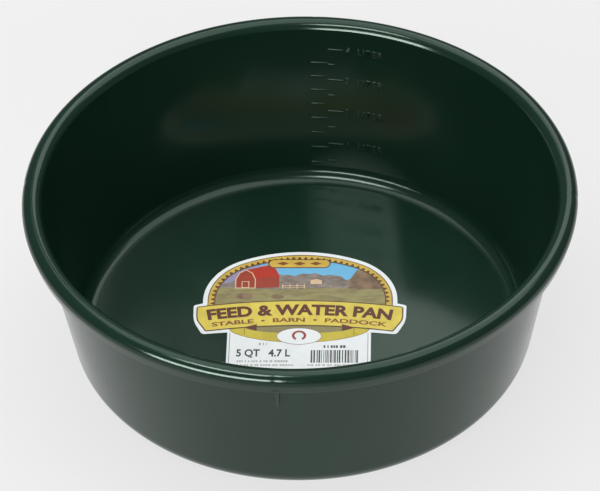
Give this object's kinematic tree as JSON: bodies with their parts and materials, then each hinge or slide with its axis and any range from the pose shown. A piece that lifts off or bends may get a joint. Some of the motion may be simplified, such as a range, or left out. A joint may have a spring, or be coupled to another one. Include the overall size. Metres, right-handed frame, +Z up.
{
  "type": "feed pan",
  "caption": "Round shallow stable feed pan with a rolled down-turned rim, small ribs under it, a raised volume scale inside and a printed label on the floor.",
  "frame": {"origin": "centre of the base, on the surface the pan stands on", "axes": "+Z up along the pan's axis, +Y towards the wall with the volume scale, the label reads upright from -Y"},
  "size_m": [0.292, 0.292, 0.101],
  "materials": {
    "pan_plastic": "glossy dark green injection-moulded polyethylene",
    "label_print": "white film label with a satin printed face",
    "label_adhesive": "thin clear pressure-sensitive adhesive"
  },
  "bodies": {
    "root": {"pan": "pan_plastic", "label": "label_print", "label_adhesive": "label_adhesive"}
  },
  "joints": []
}
